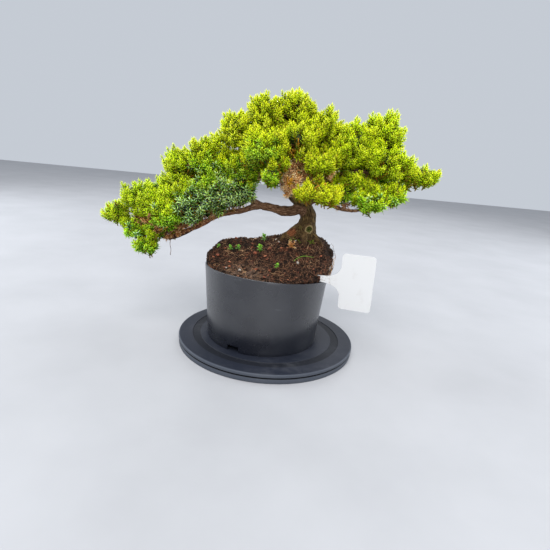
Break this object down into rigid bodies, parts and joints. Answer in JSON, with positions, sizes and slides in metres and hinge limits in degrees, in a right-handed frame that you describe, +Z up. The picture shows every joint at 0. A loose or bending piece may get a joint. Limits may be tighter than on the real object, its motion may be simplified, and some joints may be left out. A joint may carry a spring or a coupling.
{
  "type": "juniper bonsai in a pot",
  "caption": "Garden juniper bonsai with a low sweeping left limb and needled foliage pads, in a plain round plastic pot on a turntable, with a blank plant label.",
  "frame": {"origin": "centre of the turntable's underside, on the surface it stands on", "axes": "+Z up along the turntable's axis, -Y towards the plant's front, +X to the right seen from the front"},
  "size_m": [0.3675, 0.2, 0.2845],
  "materials": {
    "plate": "satin moulded black plastic",
    "steel": "polished",
    "cage": "moulded nylon",
    "pot": "satin black plastic with dust",
    "soil": "rough peat and bark",
    "bark": "flaking bark",
    "foliage_lime": "young needles",
    "foliage_green": "mature needles",
    "foliage_blue": "waxy blue-green needles",
    "label": "white sheet plastic",
    "leaf": "soft green leaf"
  },
  "bodies": {
    "stand": {"turntable_base": "plate", "turntable_pivot": "steel"},
    "race": {"ball_1": "steel", "ball_2": "steel", "ball_3": "steel", "ball_4": "steel", "ball_5": "steel", "ball_6": "steel", "ball_cage": "cage"},
    "turntable": {"foliage_apex_left": "foliage_lime", "foliage_apex_right": "foliage_lime", "foliage_blue_front": "foliage_blue", "foliage_blue_right": "foliage_blue", "foliage_crown_back": "foliage_green", "foliage_crown_back_right": "foliage_green", "foliage_crown_front": "foliage_green", "foliage_crown_heart": "foliage_lime", "foliage_crown_inner": "foliage_green", "foliage_crown_left": "foliage_lime", "foliage_crown_left_low": "foliage_green", "foliage_crown_skirt": "foliage_green", "foliage_left_back": "foliage_green", "foliage_left_front": "foliage_green", "foliage_left_hang": "foliage_green", "foliage_left_low": "foliage_green", "foliage_left_tip": "foliage_lime", "foliage_left_top": "foliage_lime", "foliage_ridge": "foliage_green", "foliage_right_back": "foliage_green", "foliage_right_crest": "foliage_lime", "foliage_right_front": "foliage_lime", "foliage_right_hang": "foliage_green", "foliage_right_low": "foliage_green", "foliage_right_mid": "foliage_lime", "foliage_right_peak": "foliage_lime", "foliage_right_shoulder": "foliage_lime", "foliage_right_tip": "foliage_lime", "foliage_right_under": "foliage_green", "foliage_shoulder": "foliage_lime", "foliage_shoulder_back": "foliage_green", "foliage_shoulder_front": "foliage_blue", "foliage_yellow_front": "foliage_lime", "plant_label": "label", "pot": "pot", "seedling_1": "leaf", "seedling_2": "leaf", "seedling_3": "leaf", "seedling_4": "leaf", "seedling_5": "leaf", "seedling_6": "leaf", "soil": "soil", "turntable_top": "plate", "wood": "bark"}
  },
  "joints": [
    {"name": "turntable_spin", "type": "hinge", "parent": "stand", "child": "turntable", "pos_m": [0, 0, 0.0064], "axis": [0, 0, 1], "continuous": true},
    {"name": "race_spin", "type": "hinge", "parent": "stand", "child": "race", "pos_m": [0, 0, 0.0059], "axis": [0, 0, 1], "continuous": true}
  ],
  "couplings": [
    {"joint": "race_spin", "follows": "turntable_spin", "ratio": 0.5}
  ]
}
